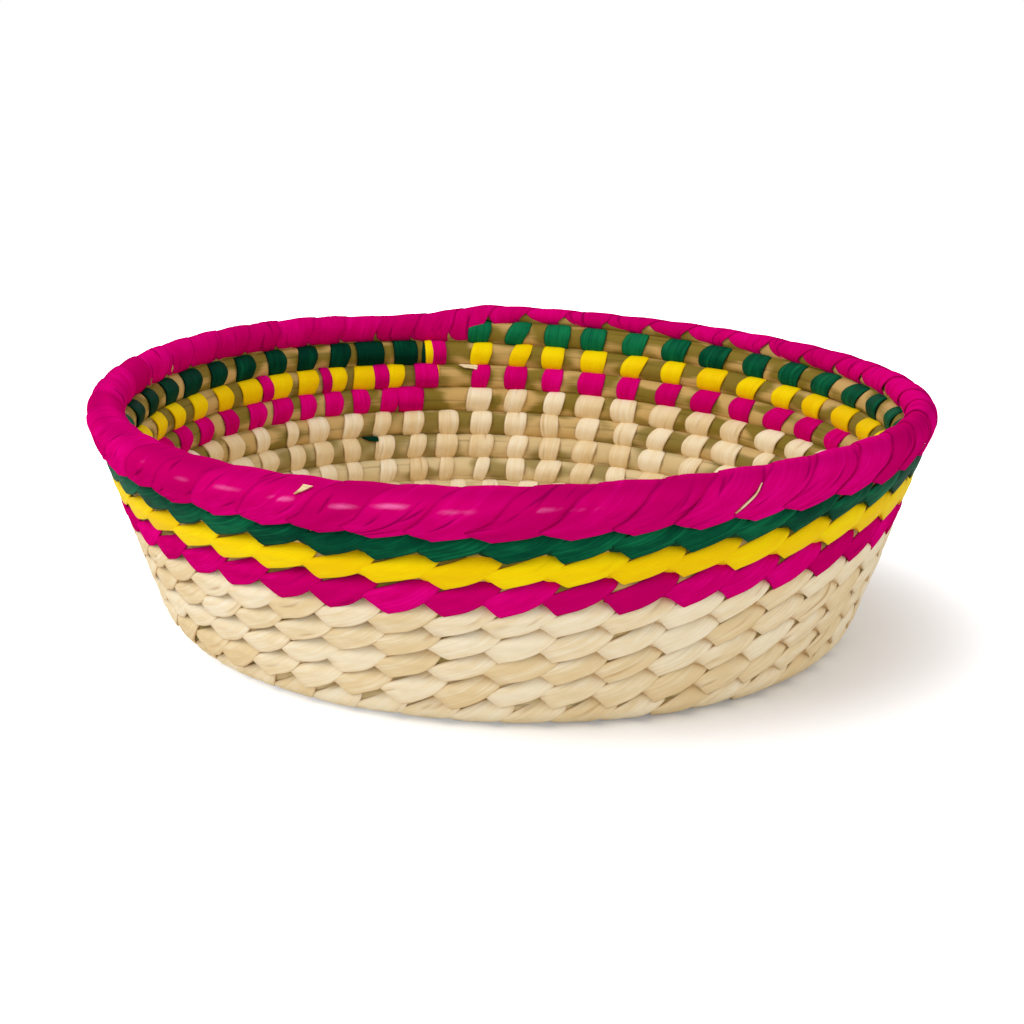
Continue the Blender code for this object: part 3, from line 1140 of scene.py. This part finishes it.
class Graph:
    """The nodes of one material, or of the world."""

    def __init__(self, owner: Union[bpy.types.Material, bpy.types.World], output: str) -> None:
        """Clears the owner's nodes and adds its output."""
        self.owner = owner
        owner.use_nodes = True
        self.tree = owner.node_tree
        self.tree.nodes.clear()
        self.output = self.tree.nodes.new(output)

    @classmethod
    def of_material(cls, name: str) -> "Graph":
        """The graph of a new material."""
        return cls(bpy.data.materials.new(name), "ShaderNodeOutputMaterial")

    def node(self, kind: str, settings: Settings, inputs: Inputs) -> bpy.types.Node:
        """Adds a node.

        Args:
            kind: its type
            settings: its properties, set first
            inputs: the value or the signal of each socket that it names or numbers

        Returns:
            the node
        """
        made = self.tree.nodes.new(kind)
        for name, value in settings.items():
            setattr(made, name, value)
        for name, value in inputs.items():
            socket = made.inputs[name]
            if isinstance(value, Signal):
                self.tree.links.new(value.socket, socket)
            else:
                socket.default_value = value
        return made

    def signals(self, kind: str, settings: Settings, inputs: Inputs, *outputs: Any) -> list[Signal]:
        """Adds a node and gives what comes out of some of its outputs, named or numbered."""
        made = self.node(kind, settings, inputs)
        return [Signal(self, made.outputs[output]) for output in outputs]

    def signal(self, kind: str, settings: Settings, inputs: Inputs, output: Any = 0) -> Signal:
        """Adds a node and gives what comes out of one output, the first unless another is said."""
        return self.signals(kind, settings, inputs, output)[0]

    def math(self, operation: str, *values: Value) -> Signal:
        """The result of one Math node."""
        return self.signal("ShaderNodeMath", {"operation": operation}, dict(enumerate(values)))

    def noise(self, place: Signal, scale: Vector3, detail: float, roughness: float) -> Signal:
        """Noise over a place stretched along its axes, from 0 to 1."""
        stretched = self.signal("ShaderNodeVectorMath", {"operation": "MULTIPLY"}, {0: place, 1: scale})
        inputs = {"Vector": stretched, "Scale": 1.0, "Detail": detail, "Roughness": roughness}
        return self.signal("ShaderNodeTexNoise", {}, inputs, "Fac")

    def blend(self, share: Value, low: Any, high: Any) -> Signal:
        """A colour between two others."""
        settings = {"data_type": "RGBA", "clamp_factor": True}
        return self.signal("ShaderNodeMix", settings, {0: share, 6: colour_of(low), 7: colour_of(high)}, 2)

    def mix(self, share: Value, low: Signal, high: Signal) -> Signal:
        """A shader between two others."""
        return self.signal("ShaderNodeMixShader", {}, {0: share, 1: low, 2: high})

    def kept(self, name: str, output: str) -> Signal:
        """What each point keeps under a name."""
        return self.signal("ShaderNodeAttribute", {"attribute_name": name}, {}, output)

    def measure(self) -> tuple[Signal, Signal, Signal, Signal]:
        """What each point keeps of its leaf.

        Returns:
            the place along and across the leaf, its phase in the stitch, its share across and the leaf's tone
        """
        uv = self.signal("ShaderNodeUVMap", {"uv_map": "leaf"}, {})
        cast = self.kept("cast", "Vector")
        phase, side, tone = self.signals("ShaderNodeSeparateXYZ", {}, {0: cast}, 0, 1, 2)
        shift = self.signal("ShaderNodeCombineXYZ", {}, {0: 0.0, 1: 0.0, 2: tone * 7.0})
        place = self.signal("ShaderNodeVectorMath", {"operation": "ADD"}, {0: uv, 1: shift})
        return place, phase, side, tone

    def bump(self, height: Signal, distance: float, strength: float) -> Signal:
        """A normal that shows a height, given in units of distance."""
        inputs = {"Strength": strength, "Distance": distance, "Height": height}
        return self.signal("ShaderNodeBump", {}, inputs)

    def finish(self, shader: Signal) -> Any:
        """Ends the graph in a shader, and gives its material or world."""
        self.tree.links.new(shader.socket, self.output.inputs[0])
        return self.owner

    def surface(self, colour: Signal, roughness: Signal, sheen: float, normal: Signal) -> bpy.types.Material:
        """Ends the graph in a Principled shader that isn't metal.

        Args:
            colour: its colour
            roughness: from 0, glossy, to 1
            sheen: how strongly it mirrors
            normal: its normal

        Returns:
            the material
        """
        inputs = {"Base Color": colour, "Roughness": roughness, "Metallic": 0.0, "Normal": normal}
        inputs["Specular IOR Level"] = sheen
        return self.finish(self.signal("ShaderNodeBsdfPrincipled", {}, inputs))


def colour_of(value: Any) -> Any:
    """A colour with its alpha, or the signal as it is."""
    return value if isinstance(value, Signal) else (*value, 1.0)


def srgb(red: float, green: float, blue: float) -> Vector3:
    """Linear colour from the sRGB numbers, 0 to 255."""
    shares = np.array([red, green, blue]) / 255
    linear = np.where(shares <= 0.04045, shares / 12.92, ((shares + 0.055) / 1.055) ** 2.4)
    return tuple(float(v) for v in linear)


@dataclass(frozen=True)
class LeafFinish:
    """A dyed or plain leaf, with fine lengthwise fibres, uneven dye and darker edges.

    Args:
        name: its material's name
        slot: the record's material slot
        deep: the colour of the darkest leaves
        full: the usual colour
        light: the colour where it is palest
        edge: the colour of the painted shade at its edges, tucked ends and creases, which its darker fibres
            lean to as well
        edge_shade_share: how far its edges and tucked ends lean to that painted shade
        roughness: from 0, glossy, to 1
        sheen: how strongly it mirrors
        fibres: how strongly the fibres show in the colour
        painted_glint: the colour of the small painted highlights on the folds of the rim's wraps, which a
            leaf also leans to faintly where it is mottled
    """

    name: str
    slot: str
    deep: Vector3
    full: Vector3
    light: Vector3
    edge: Vector3
    edge_shade_share: float
    roughness: float
    sheen: float
    fibres: float
    painted_glint: Vector3 = srgb(255, 250, 235)

    def material(self) -> bpy.types.Material:
        """The node material."""
        graph = Graph.of_material(self.name)
        place, phase, side, tone = graph.measure()
        fibre = graph.noise(place, (30, 5200, 1), 2, 0.5)
        blotch = graph.noise(place, (90, 240, 1), 3, 0.6)
        streak = graph.noise(place, (12, 1500, 1), 2, 0.5)
        pale = (tone * 0.6 + blotch * 0.9 + streak * 0.25 - 0.40).ramp(0.05, 0.95)
        colour = graph.blend(pale, self.deep, self.full)
        mottled = blotch - 0.5
        lifted = (streak * 0.5 + blotch * 0.4 + fibre * self.fibres * 0.5 + tone * 0.15).ramp(0.55, 0.95)
        # Painted shade: darker along both edges, where the leaf meets its neighbours, and at both ends, where
        # it is tucked under.
        rim = (side.size() + mottled * 0.15).ramp(0.88, 1.02)
        first_end_shade = (0.22 + mottled * 0.08 - phase).ramp(0.0, 0.08)
        second_end_shade = (phase + mottled * 0.12).ramp(0.42, 0.54) * (1.0 - phase).ramp(0.36, 0.50)
        # Painted shade in the creases, with the rim's painted highlights below 0.
        crease = graph.kept("crease", "Fac")
        layers = (
            (lifted, self.light),
            ((rim * 0.7 + (first_end_shade + second_end_shade) * 0.5) * self.edge_shade_share, self.edge),
            (crease.ramp(0.15, 1.1) * 0.6, self.edge),
            ((mottled * 0.6 - crease).ramp(0.15, 1.1) * 0.8, self.painted_glint),
            ((fibre - 0.58).ramp(0.0, 0.2) * self.fibres * 0.35, self.edge),
        )
        for share, other in layers:
            colour = graph.blend(share, colour, other)
        roughness = self.roughness + (fibre - 0.5) * 0.15 + mottled * 0.12
        return graph.surface(colour, roughness, self.sheen, graph.bump(fibre, 0.00006, 0.5))


@dataclass(frozen=True)
class FibreFinish:
    """The bare bundle: long palm fibres, olive and tan, with painted shade in the grooves between the
    strands.
    """

    name: str = "palm fibre bundle"
    slot: str = "palm_fibre_bundle"
    olive: Vector3 = srgb(134, 114, 40)
    tan: Vector3 = srgb(206, 170, 104)
    groove_shade: Vector3 = srgb(62, 50, 24)
    pale: Vector3 = srgb(228, 206, 156)

    def material(self) -> bpy.types.Material:
        """The node material."""
        graph = Graph.of_material(self.name)
        place, _, rib, height = graph.measure()
        fibre = graph.noise(place, (40, 2600, 1), 2, 0.5)
        patch = graph.noise(place, (58, 120, 1), 1, 0.5)
        share = (patch + (fibre - 0.5) * 0.12).ramp(0.45, 0.60)
        colour = graph.blend(share, self.olive, self.tan)
        low = (0.85 - height).ramp(0.0, 0.6) * (patch.ramp(0.36, 0.56) * 0.75 + 0.25)
        colour = graph.blend(low, colour, self.pale)
        # Painted shade in the grooves between the strands.
        colour = graph.blend((0.0 - rib).ramp(0.25, 0.60) * 0.3, colour, self.groove_shade)
        return graph.surface(colour, 0.6 + (fibre - 0.5) * 0.2, 0.1, graph.bump(fibre, 0.00008, 0.5))


# The fourth colour of each finish is its painted shade; the magenta's last is its painted highlight.
LEAF_FINISHES = {
    Colour.NATURAL: LeafFinish(
        "undyed palm leaf", "natural_leaf", srgb(236, 210, 160), srgb(249, 231, 192), srgb(254, 243, 216),
        srgb(180, 134, 76), 0.85, 0.6, 0.06, 0.55,
    ),
    Colour.MAGENTA: LeafFinish(
        "magenta palm leaf", "magenta_leaf", srgb(196, 0, 98), srgb(222, 0, 118), srgb(240, 10, 146),
        srgb(112, 0, 60), 0.6, 0.34, 0.0, 0.2, srgb(255, 128, 196),
    ),
    Colour.YELLOW: LeafFinish(
        "yellow palm leaf", "yellow_leaf", srgb(248, 204, 0), srgb(255, 222, 0), srgb(255, 232, 10),
        srgb(200, 136, 0), 0.6, 0.5, 0.04, 0.2,
    ),
    Colour.GREEN: LeafFinish(
        "green palm leaf", "green_leaf", srgb(0, 52, 36), srgb(6, 92, 60), srgb(22, 128, 78),
        srgb(0, 20, 12), 1.1, 0.46, 0.02, 0.3,
    ),
}


@dataclass
class Studio:
    """The pale floor, the soft light and the camera.

    Args:
        aim: what the camera looks at
        distance: how far the camera is from it
        elevation: how far it looks down
        roll: by how much it leans
        lens: its focal length in millimetres
        sensor: the width of its sensor in millimetres
        floor_size: the length of half the floor's side, and its depth
        glow: how strongly the floor shines where the camera sees it
        far_glow: the share of that glow which it gains away from the basket
        near_glow: the share which it has under the basket
        shadow: the middle of the shadow that the floor keeps
        shadow_radii: where that shadow starts to fade, and where it ends
        room_light: how strongly the room lights the basket from all sides
    """

    aim: Vector3 = (0.00054, 0.0, 0.03327)
    distance: float = 0.5882
    elevation: float = math.radians(15.27)
    roll: float = math.radians(1.49)
    lens: float = 1715.4 * 36 / 1024
    sensor: float = 36
    floor_size: tuple[float, float] = (3.0, 0.002)
    glow: float = 2.5
    far_glow: float = 0.955
    near_glow: float = 0.045
    shadow: Vector3 = (0.03, 0, 0)
    shadow_radii: tuple[float, float] = (0.085, 0.25)
    room_light: float = 0.62

    def build(self) -> None:
        """Makes them all."""
        self.camera()
        self.floor()
        self.world()
        self.lamp("key lamp", (-0.95, -0.55, 1.15), 1.1, 11.0)
        self.lamp("fill lamp", (0.9, -1.1, 0.9), 1.4, 4.0)
        bpy.context.scene.view_settings.view_transform = "Standard"

    def camera(self) -> None:
        """Puts the camera where the photograph was taken from."""
        right = Vector((1, 0, 0))
        up = Vector((0, math.sin(self.elevation), math.cos(self.elevation)))
        back = right.cross(up)
        lean_right = right * math.cos(self.roll) + up * math.sin(self.roll)
        lean_up = up * math.cos(self.roll) - right * math.sin(self.roll)
        data = bpy.data.cameras.new("camera")
        data.lens = self.lens
        data.sensor_width = self.sensor
        data.clip_start = 0.01
        made = bpy.data.objects.new("camera", data)
        turned = Matrix((lean_right, lean_up, back)).transposed().to_4x4()
        made.matrix_world = Matrix.Translation(Vector(self.aim) + back * self.distance) @ turned
        bpy.context.scene.collection.objects.link(made)
        bpy.context.scene.camera = made

    def floor(self) -> None:
        """A wide pale floor that keeps the basket's shadow."""
        half, depth = self.floor_size
        square = ((-half, -half), (half, -half), (half, half), (-half, half))
        rings = np.array([[(x, y, z) for x, y in square] for z in (-depth, 0.0)])
        made = tube("floor", rings, sharp=20)
        graph = Graph.of_material("pale floor")
        seen = graph.signal("ShaderNodeLightPath", {}, {}, "Is Camera Ray")
        spot = graph.signal("ShaderNodeNewGeometry", {}, {}, "Position")
        settings = {"operation": "DISTANCE"}
        away = graph.signal("ShaderNodeVectorMath", settings, {0: spot, 1: self.shadow}, "Value")
        paint = graph.signal("ShaderNodeBsdfDiffuse", {}, {"Color": (0.92, 0.92, 0.92, 1.0)})
        glow = graph.signal("ShaderNodeEmission", {}, {"Color": WHITE, "Strength": self.glow})
        share = seen * (away.ramp(*self.shadow_radii) * self.far_glow + self.near_glow)
        made.data.materials.append(graph.finish(graph.mix(share, paint, glow)))

    def world(self) -> None:
        """White where it is seen, and a soft even light elsewhere."""
        graph = Graph(bpy.data.worlds.new("soft room"), "ShaderNodeOutputWorld")
        rays = ("Is Camera Ray", "Is Glossy Ray", "Is Transmission Ray")
        camera, mirrored, through = graph.signals("ShaderNodeLightPath", {}, {}, *rays)
        seen = graph.math("MAXIMUM", graph.math("MAXIMUM", camera, mirrored), through)
        lit, shown = (
            graph.signal("ShaderNodeBackground", {}, {"Color": WHITE, "Strength": strength})
            for strength in (self.room_light, 1.0)
        )
        bpy.context.scene.world = graph.finish(graph.mix(seen, lit, shown))

    def lamp(self, name: str, place: Vector3, size: float, power: float) -> None:
        """A square soft lamp that faces the basket.

        Args:
            name: its name
            place: where it stands
            size: the length of its side
            power: its power in watts
        """
        data = bpy.data.lights.new(name, "AREA")
        data.size = size
        data.energy = power
        made = bpy.data.objects.new(name, data)
        made.location = place
        made.rotation_euler = (Vector(self.aim) - Vector(place)).to_track_quat("-Z", "Y").to_euler()
        bpy.context.scene.collection.objects.link(made)


@dataclass(frozen=True)
class OddBand:
    """A short band inside the wall in another colour than its row.

    Args:
        name: its name
        colour: its dye
        stitch: the stitch count of the leaf whose band's place it takes
        widening: its width, as a share of the usual one
        wrap: what part of a band it is
    """

    name: str
    colour: Colour
    stitch: float
    widening: float
    wrap: Wrap = Wrap.BAND


ODD_BANDS = (
    OddBand("odd_band_in_the_green_row", Colour.MAGENTA, -47.84, 0.95),
    OddBand("yellow_sliver_in_the_green_row", Colour.YELLOW, -47.54, 0.45),
    OddBand("wide_green_one", Colour.GREEN, -46.92, 1.35),
    OddBand("wide_green_two", Colour.GREEN, -45.93, 1.60),
    OddBand("odd_band_in_the_yellow_row", Colour.MAGENTA, -95.52, 1.35),
    OddBand("magenta_gap_one", Colour.MAGENTA, -94.14, 0.85),
    OddBand("magenta_gap_two", Colour.MAGENTA, -92.42, 0.55),
    OddBand("magenta_gap_three", Colour.MAGENTA, -90.45, 0.70),
    OddBand("wide_magenta", Colour.MAGENTA, -142.98, 1.50),
    OddBand("dark_scrap", Colour.GREEN, -237.60, 0.80, Wrap.SCRAP),
    OddBand("pale_scrap", Colour.NATURAL, -96.65, 0.90, Wrap.SCRAP),
    OddBand("torn_thread_right", Colour.NATURAL, 28.0, 1.0, Wrap.THREAD),
    OddBand("bare_corner", Colour.NATURAL, 20.84, 1.0, Wrap.FLECK),
)


@dataclass
class Basket:
    """The whole basket: its bundle and its strips.

    Args:
        coil: the path of its bundle
        seed: of the first strip's unevenness
        odd_seed: by how much the first odd band's seed is higher
        band_crown: the crown of an odd band, in metres
        scrap_crown: the crown of a smaller odd piece
    """

    coil: Coil
    seed: int = 20
    odd_seed: int = 900
    band_crown: float = 0.00045
    scrap_crown: float = 0.0001

    def build(self) -> None:
        """Builds every piece, dresses it and puts it in the place of its solid."""
        materials = {colour: finish.material() for colour, finish in LEAF_FINISHES.items()}
        bundle_finish = FibreFinish()
        bundle = Foundation(self.coil).build()
        self.settle(bundle, bundle_finish.material(), "foundation_coil", bundle_finish.slot)
        for number, span in enumerate(StripPlan(self.coil).spans()):
            strip = LeafStrip(self.coil, span, np.random.default_rng(self.seed + number + 1))
            piece = strip.build()
            self.settle(piece, materials[span.colour], span.name, LEAF_FINISHES[span.colour].slot)
        for number, band in enumerate(ODD_BANDS):
            turn = float(self.coil.turn(np.array(band.stitch)))
            span = StripSpan(band.name, band.colour, band.wrap, turn, turn)
            rng = np.random.default_rng(self.seed + self.odd_seed + number)
            crown = self.band_crown if band.wrap is Wrap.BAND else self.scrap_crown
            strip = LeafStrip(self.coil, span, rng, crown=crown, widening=band.widening)
            self.settle(strip.build(), materials[band.colour], None, LEAF_FINISHES[band.colour].slot)

    @staticmethod
    def settle(piece: bpy.types.Object, material: bpy.types.Material, node: Optional[str], slot: str) -> None:
        """Dresses a piece and puts it in the place of a solid, if it stands for one.

        Args:
            piece: the piece
            material: its finish
            node: the solid that it stands for
            slot: the record's material slot, which is not used
        """
        piece.data.materials.append(material)
        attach(piece, BODY)
        if node:
            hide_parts(node)
        log.info("%s stands for %s, with %d faces", piece.name, node or "no solid", len(piece.data.polygons))


def main() -> None:
    """Builds the basket and its studio."""
    logging.basicConfig(level=logging.INFO, format="%(message)s")
    Studio().build()
    Basket(Coil()).build()


if __name__ == "__main__":
    main()
